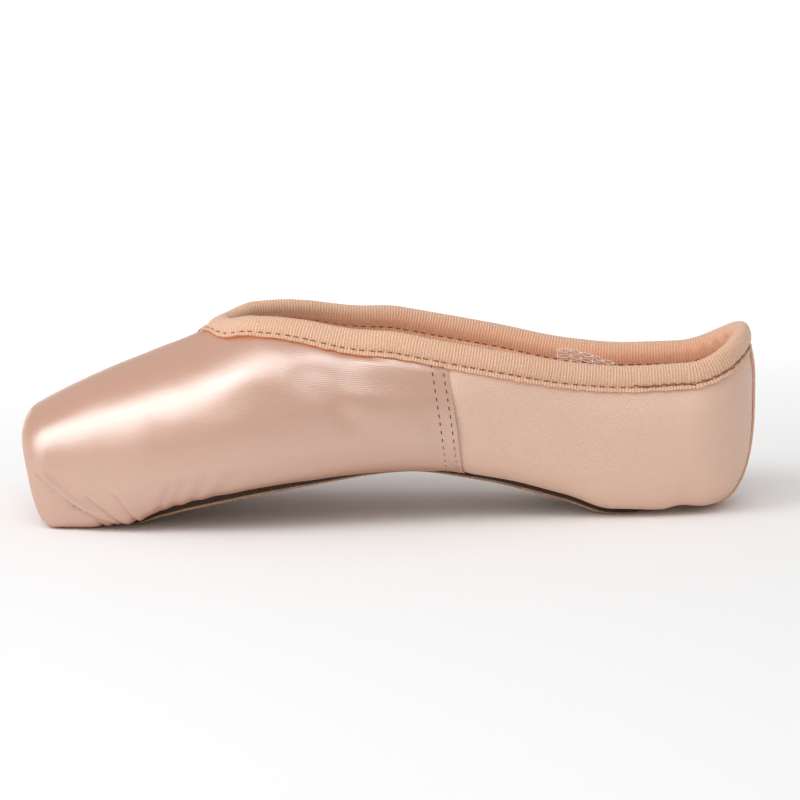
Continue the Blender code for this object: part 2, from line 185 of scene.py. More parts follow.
def section_at(way, rows):
    """Points in metres on the left half of the last, and the half section's length."""
    if way <= HEEL_CENTRE:
        station = max(0.0, way)
        bottom = underside(station)
        side_cut = rounding(station, CORNER_RADIUS)
        edge_cut = rounding(station, EDGE_RADIUS)
        foot_cut = rounding(station, FOOT_RADIUS)
        section = half_section(
            bottom + foot_cut,
            (along(BOTTOM_WIDTH, station) - side_cut, bottom + foot_cut),
            (along(WIDEST, station) - side_cut, along(WIDEST_HEIGHT, station)),
            (along(TOP_WIDTH, station), along(TOP_LINE, station) - edge_cut),
            along(TOP_LEAN, station),
            (along(LOWER_FULLNESS, station), along(UPPER_FULLNESS, station)),
            along(COLLAR_WIDTH, station))
        line, length = evenly(section, rows)
        if way < 0.0:
            centre = (line[0, 1] + line[-1, 1]) / 2.0
            ring = 1.0 + way / FACE_DEPTH
            line = line * ring + np.array((0.0, centre)) * (1.0 - ring)
        return np.array([place(station, y, z) for y, z in line]), length
    angle = math.pi / 2.0 * (1.0 - (way - HEEL_CENTRE) / HEEL_ARC)
    share = math.cos(angle) ** 2

    def turn(side, back):
        return side + (back - side) * share

    section = half_section(
        underside(HEEL_CENTRE),
        (turn(BOTTOM_WIDTH[-1][1], BACK["flat"]), turn(underside(HEEL_CENTRE), BACK["bottom"])),
        (turn(WIDEST[-1][1], HEEL_RADIUS), turn(WIDEST_HEIGHT[-1][1], BACK["widest_height"])),
        (turn(TOP_WIDTH[-1][1], BACK["radius"]), turn(TOP_LINE[-1][1], BACK["height"])),
        turn(TOP_LEAN[-1][1], BACK["lean"]),
        (LOWER_FULLNESS[-1][1], UPPER_FULLNESS[-1][1]), 0.0)
    line, length = evenly(section, rows)
    cos, sin = math.cos(angle), math.sin(angle)
    return np.array([place(HEEL_CENTRE + r * cos, r * sin, z) for r, z in line]), length


ROWS = 121
WAYS = np.unique(np.round(np.concatenate((
    np.linspace(-FACE_DEPTH, 0.0, 17), np.linspace(0.0, 10.0, 41),
    np.linspace(10.0, 64.0, 82), np.linspace(64.0, 80.0, 65), np.linspace(80.0, 215.0, 181),
    np.linspace(215.0, BACK_WAY, 61))), 5))
sections = [section_at(way, ROWS) for way in WAYS]
LAST = np.array([points for points, length in sections])
GIRTH = np.array([length for points, length in sections])


def outward_normals(grid):
    """Unit normals of the last's left half, pointing out."""
    down_way = np.gradient(grid, WAYS, axis=0)
    up_row = np.gradient(grid, axis=1)
    normals = np.cross(up_row, down_way)
    lengths = np.linalg.norm(normals, axis=2, keepdims=True)
    normals = normals / np.maximum(lengths, 1e-12)
    middle = np.array((0.0, 0.0, 0.03))
    if (normals[200, 60] * (grid[200, 60] - middle)).sum() < 0.0:
        normals = -normals
    flat_tip = WAYS < -0.5
    lean = math.radians(TOE_LEAN)
    normals[flat_tip] = (-math.cos(lean), 0.0, -math.sin(lean))
    closed = np.abs(grid[:, :, 1]) < 1e-7
    normals[closed, 1] = 0.0
    lengths = np.linalg.norm(normals, axis=2, keepdims=True)
    return normals / np.maximum(lengths, 1e-12)


NORMALS = outward_normals(LAST)


def on_last(way, share, side=-1.0):
    """Points and outward normals on the last: share runs from 0 underneath to 1 at the top."""
    way, share = np.broadcast_arrays(np.asarray(way, float), np.asarray(share, float))
    column = np.clip(np.interp(way, WAYS, np.arange(len(WAYS))), 0, len(WAYS) - 1.001)
    row = np.clip(share * (ROWS - 1), 0, ROWS - 1.001)
    i, j = column.astype(int), row.astype(int)
    a, b = (column - i)[..., None], (row - j)[..., None]

    def mixed(grid):
        near = grid[i, j] * (1.0 - a) + grid[i + 1, j] * a
        far = grid[i, j + 1] * (1.0 - a) + grid[i + 1, j + 1] * a
        return near * (1.0 - b) + far * b

    flip = np.stack((np.ones_like(way), np.full_like(way, side), np.ones_like(way)), -1)
    normal = mixed(NORMALS)
    normal /= np.maximum(np.linalg.norm(normal, axis=-1, keepdims=True), 1e-9)
    return mixed(LAST) * flip, normal * flip


def girth_at(way):
    return np.interp(way, WAYS, GIRTH)


def smooth_step(low, high, value):
    t = np.clip((value - low) / (high - low), 0.0, 1.0)
    return t * t * (3.0 - 2.0 * t)


SATIN_THICKNESS = 0.5
SEAM_TOP = 137.2
SEAM_SPREAD = 8.6
VAMP_LIFT = 0.35
DEEPEST = -1.05             # the paste-stiff layers below let no fold sink further
# Folds on one side: (station, height, station, height, half width, depth), out where positive.
NEAR_FOLDS = ((94.0, 50.5, 134.0, 46.0, 4.2, -0.65), (98.0, 49.5, 106.0, 39.5, 4.6, -0.8),
              (84.0, 59.5, 112.0, 56.5, 5.0, 0.45), (114.0, 40.5, 131.0, 35.0, 9.0, 0.85),
              (68.0, 43.0, 92.0, 46.5, 5.5, -0.5), (135.0, 33.0, 139.0, 20.0, 5.0, -0.5),
              (80.0, 30.0, 128.0, 27.0, 8.0, 0.4),
              (46.0, 8.5, 49.5, 15.5, 1.5, -0.7), (50.5, 9.5, 54.0, 17.0, 1.8, -0.9),
              (56.5, 11.0, 60.5, 18.0, 2.0, -0.7), (64.0, 13.0, 69.0, 18.5, 2.4, -0.5))
FAR_FOLDS = ((95.0, 53.5, 128.0, 49.5, 4.4, -0.5), (103.0, 49.0, 110.0, 38.0, 4.8, -0.7),
             (88.0, 59.0, 112.0, 56.0, 5.0, 0.4), (116.0, 42.0, 131.0, 34.0, 8.5, 0.8),
             (72.0, 43.0, 92.0, 45.0, 5.5, -0.45), (136.0, 34.0, 139.0, 21.0, 5.0, -0.5),
             (47.5, 9.0, 51.0, 16.0, 1.6, -0.8), (53.5, 10.0, 57.5, 17.0, 1.9, -0.8),
             (60.0, 12.0, 65.0, 18.5, 2.2, -0.6))
PLEAT_CENTRE = (37.0, 0.0)
PLEAT_ANGLES = (12, 27, 41, 56, 70, 84, 99, 113, 127, 140)
# Long drawn pleats at the foot of the box: they start by the sole and fade up its side.
DRAWN_PLEATS = ((27.0, 1.5, 6.0, 18.0, 0.55, -0.75), (31.0, 1.8, 12.5, 11.0, 0.6, -0.8),
                (33.5, 2.2, 22.0, 11.5, 0.6, -0.8), (38.0, 3.0, 31.5, 12.5, 0.65, -0.8))


def stroke(station, height, fold):
    """Depth of one soft fold: full along its middle, fading to its sides and ends."""
    s0, z0, s1, z1, width, depth = fold
    run = np.array((s1 - s0, z1 - z0))
    length = float(np.hypot(*run))
    t = ((station - s0) * run[0] + (height - z0) * run[1]) / length ** 2
    off = np.abs((station - s0) * run[1] - (height - z0) * run[0]) / length
    past = np.maximum(np.maximum(-t, t - 1.0), 0.0) * length
    return depth * np.exp(-(off / width) ** 2 - (past / (1.6 * width)) ** 2)


def ripple(points, scale, seed):
    """Slow, uneven swelling of cloth, from -1 to 1."""
    spot = Vector((seed, seed * 0.37, 0.0))
    flat = points.reshape(-1, 3)
    values = [noise.noise(Vector(point) / (scale * MM) + spot) for point in flat]
    return np.array(values).reshape(points.shape[:-1])


def pleats(points):
    """Pleats gathered under the toe, fanning out from the sole's front end."""
    x = points[..., 0] / MM + LENGTH / 2.0
    y = np.abs(points[..., 1]) / MM
    z = points[..., 2] / MM
    dx = PLEAT_CENTRE[0] - x
    angle = np.degrees(np.arctan2(y, dx))
    reach = np.hypot(dx, y)
    value = np.zeros_like(x)
    for count, middle in enumerate(PLEAT_ANGLES):
        bend = middle + (reach - 15.0) * (0.35 if count % 2 else -0.2)
        off = np.radians(angle - bend) * reach
        edge = np.where(off > 0.0, np.exp(-(off / 0.55) ** 2), np.exp(-(off / 2.4) ** 2))
        value -= edge * (0.55 + 0.12 * (count % 3))
        value += 0.45 * np.exp(-((off - 2.2) / 1.5) ** 2)
    fade = np.exp(-(np.maximum(0.0, reach - 17.0 - 2.0 * np.sin(angle * 0.21)) / 5.0) ** 2)
    low = 1.0 - smooth_step(3.0, 9.0, z)
    return value * fade * low * (1.0 - smooth_step(40.0, 52.0, x))


def vamp_folds(points, side):
    """How far the vamp's satin stands off the last, in millimetres."""
    station = points[..., 0] / MM + LENGTH / 2.0
    height = points[..., 2] / MM
    away = smooth_step(5.0, 14.0, np.abs(points[..., 1]) / MM)
    value = np.zeros_like(station)
    for fold in NEAR_FOLDS if side < 0.0 else FAR_FOLDS:
        value += stroke(station, height, fold) * away
    for s0, z0, s1, z1, width, depth in DRAWN_PLEATS:
        shift = 0.0 if side < 0.0 else 1.7
        value += stroke(station, height, (s0 + shift, z0, s1 + shift, z1, width, depth)) * away
        value -= 0.6 * stroke(station, height, (s0 + shift + 1.3, z0 + 0.8, s1 + shift + 1.3,
                                                z1 + 0.8, 1.3, depth)) * away
    value += pleats(points)
    value += 0.10 * ripple(points, 9.0, 3.0) + 0.22 * ripple(points, 24.0, 11.0)
    return np.where(value < 0.0, DEEPEST * np.tanh(value / DEEPEST), value)


def finish_of(name, colour, roughness, **values):
    """A material with a Principled shader, its nodes and a maker of further nodes."""
    finish = bpy.data.materials.new(name)
    finish.use_nodes = True
    nodes, links = finish.node_tree.nodes, finish.node_tree.links
    shader = nodes["Principled BSDF"]
    shader.inputs["Base Color"].default_value = colour
    shader.inputs["Roughness"].default_value = roughness
    for socket, value in values.items():
        shader.inputs[socket.replace("_", " ")].default_value = value

    def add(kind, *inputs, **settings):
        node = nodes.new(kind)
        for key, value in settings.items():
            setattr(node, key, value)
        for slot, value in enumerate(inputs):
            if isinstance(value, bpy.types.NodeSocket):
                links.new(value, node.inputs[slot])
            elif value is not None:
                node.inputs[slot].default_value = value
        return node

    def math_node(operation, *inputs):
        return add("ShaderNodeMath", *inputs, operation=operation).outputs[0]

    return finish, shader, add, math_node, links


def shade_between(add, value, low, high, places=(0.0, 1.0), course="LINEAR"):
    """One colour passing into another as the value goes from one place to the other."""
    ramp = add("ShaderNodeValToRGB", value)
    ramp.color_ramp.interpolation = course
    for stop, spot, colour in zip(ramp.color_ramp.elements, places, (low, high)):
        stop.position = spot
        stop.color = colour
    return ramp.outputs[0]


def tinted(colour, times):
    """The same colour, that many times as bright."""
    return (*[part * times for part in colour[:3]], 1.0)


def raise_grain(add, shader, links, height, strength, depth):
    """The finish's fine relief, so many metres deep."""
    bump = add("ShaderNodeBump", strength, depth)
    links.new(height, bump.inputs["Height"])
    links.new(bump.outputs[0], shader.inputs["Normal"])


def cloth_ways(add, math_node, turn):
    """Distance across and along the threads, in millimetres, from the sheet's own map."""
    uv = add("ShaderNodeUVMap", uv_map="cloth").outputs[0]
    split = add("ShaderNodeSeparateXYZ", uv).outputs
    cos, sin = math.cos(math.radians(turn)), math.sin(math.radians(turn))
    one = math_node("ADD", math_node("MULTIPLY", split[0], cos),
                    math_node("MULTIPLY", split[1], sin))
    two = math_node("ADD", math_node("MULTIPLY", split[0], -sin),
                    math_node("MULTIPLY", split[1], cos))
    return uv, one, two


def satin(name, dark, light, turn, pitch, roughness, gloss, grain):
    """Silk satin: smooth floats of yarn in fine slanting lines, with a bright silky lobe."""
    finish, shader, add, math_node, links = finish_of(
        name, light, roughness, Specular_IOR_Level=gloss, IOR=2.25, Sheen_Weight=0.08,
        Sheen_Roughness=0.5)
    shader.inputs["Sheen Tint"].default_value = (1.0, 0.88, 0.82, 1.0)
    uv, one, two = cloth_ways(add, math_node, turn)
    wander = add("ShaderNodeTexNoise", uv, None, 0.35, 2.0).outputs[0]
    phase = math_node("MULTIPLY_ADD", wander, 3.0,
                      math_node("MULTIPLY", one, 2.0 * math.pi / pitch))
    lines = math_node("SINE", phase)
    cross = math_node("SINE", math_node("MULTIPLY", two, 2.0 * math.pi / (pitch * 0.62)))
    yarn = math_node("MULTIPLY_ADD", math_node("MULTIPLY", lines, cross), 0.5, lines)
    specks = add("ShaderNodeTexNoise", uv, None, 2.4, 3.0).outputs[0]
    height = math_node("MULTIPLY_ADD", specks, 1.4, math_node("MULTIPLY", yarn, 0.5))
    raise_grain(add, shader, links, height, grain, 0.00006)
    tint = math_node("MULTIPLY_ADD", yarn, 0.03, math_node("MULTIPLY", specks, 0.16))
    links.new(shade_between(add, math_node("ADD", tint, 0.42), dark, light),
              shader.inputs["Base Color"])
    return finish


def shape_grid(mesh, points, cloth):
    """Moves a grid's points into place, and gives it its own map in mm under the name cloth."""
    mesh.vertices.foreach_set("co", points.astype(np.float32).ravel())
    corners = np.empty(len(mesh.loops), np.int32)
    mesh.loops.foreach_get("vertex_index", corners)
    mesh.uv_layers[0].name = "cloth"
    mesh.uv_layers[0].data.foreach_set("uv", cloth[corners].astype(np.float32).ravel())
    mesh.update()


def lay_sheet(name, across, down, shape):
    """A flat grid of cloth, laid point by point by shape(u, v), which also gives its map in mm."""
    bpy.ops.mesh.primitive_grid_add(x_subdivisions=across, y_subdivisions=down, size=1.0)
    sheet = bpy.context.object
    sheet.name = name
    sheet.data.name = name
    mesh = sheet.data
    flat = np.empty(len(mesh.vertices) * 3, np.float32)
    mesh.vertices.foreach_get("co", flat)
    flat = flat.reshape(-1, 3)
    shape_grid(mesh, *shape(flat[:, 0] + 0.5, flat[:, 1] + 0.5))
    return sheet


def close_sheets(sheets, name, thickness, finish, edge=None):
    """Joins laid sheets where they meet, turns them outwards and gives them their thickness."""
    bpy.ops.object.select_all(action="DESELECT")
    for sheet in sheets:
        sheet.select_set(True)
    whole = sheets[0]
    bpy.context.view_layer.objects.active = whole
    if len(sheets) > 1:
        bpy.ops.object.join()
    whole.name = name
    whole.data.name = name
    bpy.ops.object.mode_set(mode="EDIT")
    bpy.ops.mesh.select_all(action="SELECT")
    bpy.ops.mesh.remove_doubles(threshold=0.00001)
    bpy.ops.mesh.dissolve_degenerate(threshold=0.000001)
    bpy.ops.mesh.select_all(action="SELECT")
    bpy.ops.mesh.normals_make_consistent(inside=False)
    bpy.ops.object.mode_set(mode="OBJECT")
    rim = max(whole.data.polygons, key=lambda face: abs(face.center.y))
    if rim.normal.y * rim.center.y < 0.0:
        whole.data.flip_normals()
    if thickness:
        wall = whole.modifiers.new("thickness", "SOLIDIFY")
        wall.thickness = thickness * MM
        wall.offset = -1.0
        # The optional edge finish goes on the wall's rim; on the vamp it is a painted shadow line.
        wall.material_offset_rim = 1 if edge else 0
    whole.data.materials.clear()
    whole.data.materials.append(finish)
    if edge:
        whole.data.materials.append(edge)
    if thickness:
        bpy.ops.object.modifier_apply(modifier=wall.name)
    bpy.ops.object.shade_smooth_by_angle(angle=math.radians(50.0))
    bpy.ops.object.select_all(action="DESELECT")
    return whole


def seam_way(share):
    """Where the vamp's rear edge runs: it slopes back towards the sole."""
    return SEAM_TOP + SEAM_SPREAD * (1.0 - share) ** 0.8


def cloth_map(way, share, points):
    """The sheet's flat position in millimetres: along the shoe, and up its side."""
    flat_tip = way < 0.0
    u = np.where(flat_tip, -points[:, 2] / MM, way)
    v = np.where(flat_tip, points[:, 1] / MM, share * girth_at(way) * np.sign(points[:, 1] + 1e-9))
    return np.stack((u, v), 1)


VAMP_ROWS = 98
VAMP_COLUMNS = 240


def eased(points, normals, way, share, side):
    """How far the satin stands off where it is drawn smooth past the corner of the throat."""
    reach = share * girth_at(way)
    total, weights = np.zeros(way.shape), np.ones(way.shape)
    for step in (-12.0, -9.0, -6.0, -3.0, 3.0, 6.0, 9.0, 12.0):
        there = reach / girth_at(way + step)
        weight = math.exp(-(step / 8.0) ** 2) * (there <= 1.0)
        beside = on_last(way + step, np.minimum(there, 1.0), side)[0]
        total += weight * ((beside - points) * normals).sum(-1) / MM
        weights += weight
    near = smooth_step(42.0, 56.0, way) * smooth_step(112.0, 98.0, way)
    return np.clip(total / weights, -0.7, 0.7) * near * smooth_step(0.35, 0.55, share)


def vamp_surface(way, share, side):
    """The vamp's outer face, folds and all, and the last's normals there."""
    points, normals = on_last(way, share, side)
    lift = vamp_folds(points, side)
    lift += eased(points, normals, *np.broadcast_arrays(way, share), side)
    lift += VAMP_LIFT * smooth_step(100.0, 132.0, way)
    below_collar = (1.0 - share) * girth_at(way)
    covered = smooth_step(10.0, 7.5, below_collar) * smooth_step(60.0, 66.0, way)
    lift += (np.minimum(lift, 0.08) - lift) * covered
    return points + normals * lift[..., None] * MM, normals


def vamp_half(side):
    knots = np.array((0.0, 0.06, 0.12, 0.45, 0.55, 1.0))
    ways = np.array((-FACE_DEPTH, 0.0, 9.0, 66.0, 80.0, 140.0))

    def shape(u, v):
        base = np.interp(v, knots, ways)
        way = base + (seam_way(u) - ways[-1]) * smooth_step(96.0, 140.0, base) ** 1.5
        return vamp_surface(way, u, side)[0], cloth_map(way, u, on_last(way, u, side)[0])

    return lay_sheet("vamp_half", VAMP_ROWS, VAMP_COLUMNS, shape)


# Painted shade: the vamp's base colours are darker than those of the quarters, which are the same
# satin.
vamp_satin = satin("vamp_satin", (0.46, 0.192, 0.095, 1.0), (0.62, 0.287, 0.155, 1.0),
                   112.0, 0.64, 0.30, 0.95, 0.32)
# Painted shadow: the vamp's cut rim, along its rear edges over the quarters, is coloured a dark
# orange-brown.
painted_edge_shade = finish_of("painted_edge_shade", (0.50, 0.17, 0.075, 1.0), 0.7)[0]
vamp = close_sheets([vamp_half(-1.0), vamp_half(1.0)], "vamp", SATIN_THICKNESS, vamp_satin,
                    painted_edge_shade)
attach(vamp, "root")
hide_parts("upper")

# ---------------------------------------------------------------------------------------------
# Quarters: two panels of the same satin, cut on the other grain. They start under the vamp's
# rear edges, wrap the heel, and meet in a seam at the back.
# ---------------------------------------------------------------------------------------------
QUARTER_ROWS = 100
QUARTER_COLUMNS = 150
UNDERLAP = 5.0
QUARTER_FOLDS = ((150.0, 9.0, 185.0, 2.0, 5.0, 0.5), (214.0, 0.0, 217.0, 9.0, 4.0, -0.9),
                 (226.0, 44.0, 228.0, 26.0, 3.2, -0.35), (146.0, 42.0, 152.0, 22.0, 5.0, 0.35),
                 (196.0, 36.0, 205.0, 18.0, 9.0, 0.3))


def quarter_half(side):
    def shape(u, v):
        way = seam_way(u) - UNDERLAP + (BACK_WAY - seam_way(u) + UNDERLAP) * v
        points, normals = on_last(way, u, side)
        station = points[:, 0] / MM + LENGTH / 2.0
        lift = np.zeros_like(station)
        for fold in QUARTER_FOLDS:
            lift += stroke(station, points[:, 2] / MM, fold) * 0.8
        lift += 0.12 * ripple(points, 14.0, 5.0) + 0.2 * ripple(points, 40.0, 8.0)
        lift *= smooth_step(BACK_WAY, BACK_WAY - 7.0, way)
        lift -= 0.45 * smooth_step(3.0, -1.0, way - seam_way(u))
        return points + normals * lift[:, None] * MM, cloth_map(way, u, points)

    return lay_sheet("quarter_half", QUARTER_ROWS, QUARTER_COLUMNS, shape)


# Painted light: the quarters' base colours are lighter than the vamp's, though it is the same
# satin.
quarter_satin = satin("quarter_satin", (0.64, 0.365, 0.240, 1.0), (0.81, 0.510, 0.358, 1.0),
                      50.0, 0.60, 0.42, 0.6, 0.9)
quarters = close_sheets([quarter_half(-1.0), quarter_half(1.0)], "quarters", SATIN_THICKNESS,
                        quarter_satin)
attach(quarters, "root")

# ---------------------------------------------------------------------------------------------
# Lining: cotton drill sewn inside the whole upper, stiffened with paste at the box.
# ---------------------------------------------------------------------------------------------
WALL = ((0, 2.8), (45, 2.6), (95, 1.7), (215, 1.6))      # the upper's wall, lining and all
LINING_THICKNESS = 0.25
LINING_TOP = 0.995          # share of the way up that the lining reaches
LINING_ROWS = 60
LINING_COLUMNS = 200
LINING_COLOUR = (0.74, 0.655, 0.62, 1.0)
THREAD_PITCH = 0.55


def drill(name, colour):
    """Plain cotton weave: crossing threads at about half a millimetre."""
    finish, shader, add, math_node, links = finish_of(name, colour, 0.85, Sheen_Weight=0.2)
    uv, one, two = cloth_ways(add, math_node, 0.0)
    warp = math_node("SINE", math_node("MULTIPLY", one, 2.0 * math.pi / THREAD_PITCH))
    weft = math_node("SINE", math_node("MULTIPLY", two, 2.0 * math.pi / THREAD_PITCH))
    weave = math_node("MULTIPLY", warp, weft)
    cloud = add("ShaderNodeTexNoise", uv, None, 0.12, 4.0).outputs[0]
    height = math_node("MULTIPLY_ADD", cloud, 0.8, weave)
    raise_grain(add, shader, links, height, 0.5, 0.00012)
    tone = shade_between(add, math_node("MULTIPLY_ADD", weave, 0.15, cloud),
                         tinted(colour, 0.78), tinted(colour, 1.12))
    links.new(tone, shader.inputs["Base Color"])
    return finish


def lining_half(side):
    def shape(u, v):
        way = -FACE_DEPTH + (BACK_WAY + FACE_DEPTH) * v
        points, normals = on_last(way, u * LINING_TOP, side)
        depth = np.interp(way, *zip(*WALL)) - LINING_THICKNESS
        return points - normals * depth[:, None] * MM, cloth_map(way, u, points)

    return lay_sheet("lining_half", LINING_ROWS, LINING_COLUMNS, shape)


lining_cloth = drill("lining_drill", LINING_COLOUR)
lining = close_sheets([lining_half(-1.0), lining_half(1.0)], "lining", LINING_THICKNESS,
                      lining_cloth)
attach(lining, "root")

# ---------------------------------------------------------------------------------------------
# Insole: card covered with the same cotton, resting on the lining, with a soft rounded edge.
# ---------------------------------------------------------------------------------------------
INSOLE_FRONT = 14.0
INSOLE_REAR = 228.0
INSOLE_TIP = 12.0
INSOLE_COLOUR = (0.70, 0.62, 0.545, 1.0)
TIP_RINGS = 16
SOLE_RINGS = 130
INSOLE_WIDTH = tuple((station, half - 1.5) for station, half in BOTTOM_WIDTH)


def tip_factor(distance, length):
    """Share of the full width at a distance from a rounded end."""
    if distance >= length:
        return 1.0
    return math.sqrt(max(0.0, 1.0 - (1.0 - distance / length) ** 2))


def sole_blank(name, front, rear, tip, width, ring_at, finish):
    """A sole cut to a rounded outline: a grid rolled up, with its rings laid along the shoe."""
    outline = ring_at(0.0, 1.0)
    sides = len(outline)
    turns = [math.pi / 2.0 * ring / TIP_RINGS for ring in range(1, TIP_RINGS + 1)]
    turned = [tip * (1.0 - math.cos(turn)) for turn in turns]
    middle = np.linspace(front + tip, rear - tip, SOLE_RINGS)[1:-1]
    stations = [front + d for d in turned] + list(middle) + [rear - d for d in turned[::-1]]
    bpy.ops.mesh.primitive_grid_add(x_subdivisions=sides, y_subdivisions=len(stations) - 1)
    piece = bpy.context.object
    piece.name = name
    piece.data.name = name
    points, cloth = [], []
    for station in stations:
        nearest = min(station - front, rear - station)
        half = along(width, station) * tip_factor(nearest, tip)
        ring = ring_at(station, half)
        for across, height, share in ring + ring[:1]:
            points.append(place(station, across, height))
            cloth.append((station, share))
    mesh = piece.data
    shape_grid(mesh, np.array(points), np.array(cloth))
    bpy.ops.object.mode_set(mode="EDIT")
    bpy.ops.mesh.select_all(action="SELECT")
    bpy.ops.mesh.remove_doubles(threshold=0.000005)
    bpy.ops.mesh.select_all(action="DESELECT")
    bpy.ops.mesh.select_non_manifold()
    bpy.ops.mesh.edge_face_add()
    bpy.ops.mesh.select_all(action="SELECT")
    bpy.ops.mesh.normals_make_consistent(inside=False)
    bpy.ops.object.mode_set(mode="OBJECT")
    mesh.materials.clear()
    mesh.materials.append(finish)
    bpy.ops.object.shade_smooth_by_angle(angle=math.radians(40.0))
    bpy.ops.object.select_all(action="DESELECT")
    return piece


def insole_ring(station, half):
    low = underside(station) + along(WALL, station) + 0.5
    rows = [(-half, 0.2), (-half, 1.2), (-half + min(0.6, half / 4.0), 1.65)]
    rows += [(half * a, 1.75) for a in (-0.7, -0.35, 0.0, 0.35, 0.7)]
    rows += [(half - min(0.6, half / 4.0), 1.65), (half, 1.2), (half, 0.2)]
    rows += [(half * a, 0.0) for a in (0.7, 0.0, -0.7)]
    return [(across, low + height, across) for across, height in rows]


insole = sole_blank("insole_card", INSOLE_FRONT, INSOLE_REAR, INSOLE_TIP, INSOLE_WIDTH,
                    insole_ring, drill("insole_drill", INSOLE_COLOUR))
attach(insole, "root")
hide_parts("insole")

# ---------------------------------------------------------------------------------------------
# Outsole: one thin leather sole, stitched and turned. Its cut edge shows dark and fuzzy, with
# the paler grain side as a line below. It stops short of the tip and of the heel's back.
# ---------------------------------------------------------------------------------------------
SOLE_FRONT = 23.5
SOLE_REAR = 207.0
SOLE_TIP = 13.0
SOLE_WIDTH = ((23, 17.0), (38, 19.5), (50, 22.8), (65, 24.8), (80, 24.0), (97, 20.5),
              (115, 15.6), (130, 13.4), (150, 13.2), (170, 14.4), (205, 14.6))


def multiply_over(add, shader, links, ground, over, strength):
    """One colour multiplied over another, darkening or brightening it: fibre flecks on the leather,
    and painted shadow on the ribbon's lower edge.
    """
    mix = add("ShaderNodeMix", data_type="RGBA", blend_type="MULTIPLY")
    mix.inputs["Factor"].default_value = strength
    links.new(ground, mix.inputs["A"])
    links.new(over, mix.inputs["B"])
    links.new(mix.outputs["Result"], shader.inputs["Base Color"])


def sole_leather():
    """Buffed leather: pale brown grain underneath, near black over the upper part of the cut edge,
    with fuzzy flecks.
    """
    finish, shader, add, math_node, links = finish_of("sole_leather", (0.36, 0.23, 0.15, 1.0),
                                                      0.78, Specular_IOR_Level=0.3)
    uv = add("ShaderNodeUVMap", uv_map="cloth").outputs[0]
    level = add("ShaderNodeSeparateXYZ", uv).outputs[1]
    where = add("ShaderNodeTexCoord").outputs["Object"]
    fuzz = add("ShaderNodeTexNoise", where, None, 1900.0, 4.0).outputs[0]
    scuffs = add("ShaderNodeTexNoise", where, None, 120.0, 5.0).outputs[0]
    edge = math_node("MULTIPLY_ADD", fuzz, 0.22, level)
    edge = math_node("MULTIPLY_ADD", scuffs, 0.12, edge)
    cut = shade_between(add, edge, (0.40, 0.255, 0.165, 1.0), (0.050, 0.030, 0.022, 1.0),
                        (0.44, 0.56))
    fleck = shade_between(add, fuzz, (0.75, 0.72, 0.70, 1.0), (2.6, 2.4, 2.3, 1.0),
                          (0.52, 0.74))
    multiply_over(add, shader, links, cut, fleck, 0.8)
    raise_grain(add, shader, links, math_node("MULTIPLY_ADD", scuffs, 0.6, fuzz), 0.7, 0.0003)
    return finish


def outsole_ring(station, half):
    low = along(BOTTOM_LINE, station)
    deep = along(SOLE_THICKNESS, station)
    inset = min(0.45, half / 3.0)
    rows = [(1.0, 1.0, 1.0), (1.0, 0.8, 0.8), (1.0, 0.6, 0.6), (1.0, 0.42, 0.42),
            (1.0, 0.25, 0.25), (0.55, 0.08, 0.1), (0.0, 0.0, 0.0)]
    left = [(-half + inset * (1.0 - out), low + deep * up, share) for out, up, share in rows]
    under = [(a * (half - inset), low, 0.0) for a in (-0.75, -0.5, -0.25, 0.0, 0.25, 0.5, 0.75)]
    right = [(-across, height, share) for across, height, share in left[::-1]]
    over = [(a * half, low + deep, 1.0) for a in (0.6, 0.0, -0.6)]
    return left + under + right + over


outsole = sole_blank("sole", SOLE_FRONT, SOLE_REAR, SOLE_TIP, SOLE_WIDTH, outsole_ring,
                     sole_leather())
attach(outsole, "root")
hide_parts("outsole")

# ---------------------------------------------------------------------------------------------
# Collar binding: ribbed ribbon folded over the collar's raw edge, with a round casing on top.
# It is stitched through all the layers, and its lower edge stands free as a short flange.
# ---------------------------------------------------------------------------------------------
RIB_PITCH = 0.95
RIM_STEPS = 720
BINDING_LEG = ((0, 8.2), (5, 6.3), (9, 7.0), (13, 7.9), (30, 8.3), (55, 7.7), (80, 6.8),
               (400, 6.8))
BINDING_TURNED = ((0, 6.6), (5, 5.3), (11, 5.5), (30, 7.1), (400, 7.3))
FULL_LEG = 9.4
# Painted light: from so far round its section, the ribbon's inner leg glows a warm orange.
PAINTED_GLOW_FROM = 13.0
PAINTED_GLOW_STRENGTH = 0.20
SEW_LINE = 7.1
# The ribbon's section: distance below the collar's edge, and distance out from the last.
OUTER_LEG = ((9.2, 0.15), (9.45, 0.55), (9.2, 0.95), (8.5, 1.0), (7.8, 0.85), (7.3, 0.62),
             (7.1, 0.55), (6.9, 0.66), (6.4, 1.0), (5.4, 1.45), (4.2, 1.75), (2.8, 1.95),
             (1.4, 1.95))
ROLL = ((0.2, 1.85), (-0.8, 1.5), (-1.5, 0.8), (-1.85, -0.2), (-1.85, -1.2), (-1.45, -2.2),
        (-0.7, -2.95), (0.3, -3.4))
INNER_LEG = ((1.5, -3.6), (3.0, -3.55), (4.6, -3.3), (5.8, -2.95), (6.5, -2.65), (6.9, -2.35),
             (7.2, -2.3), (7.6, -2.55), (8.3, -2.8), (8.9, -2.75), (9.1, -2.4), (8.9, -1.9))


def blurred(values, times):
    """A closed run of values, made smoother."""
    for _ in range(times):
        values = (np.roll(values, 1, 0) + 2.0 * values + np.roll(values, -1, 0)) / 4.0
    return values


def unit(vectors):
    return vectors / np.maximum(np.linalg.norm(vectors, axis=-1, keepdims=True), 1e-12)


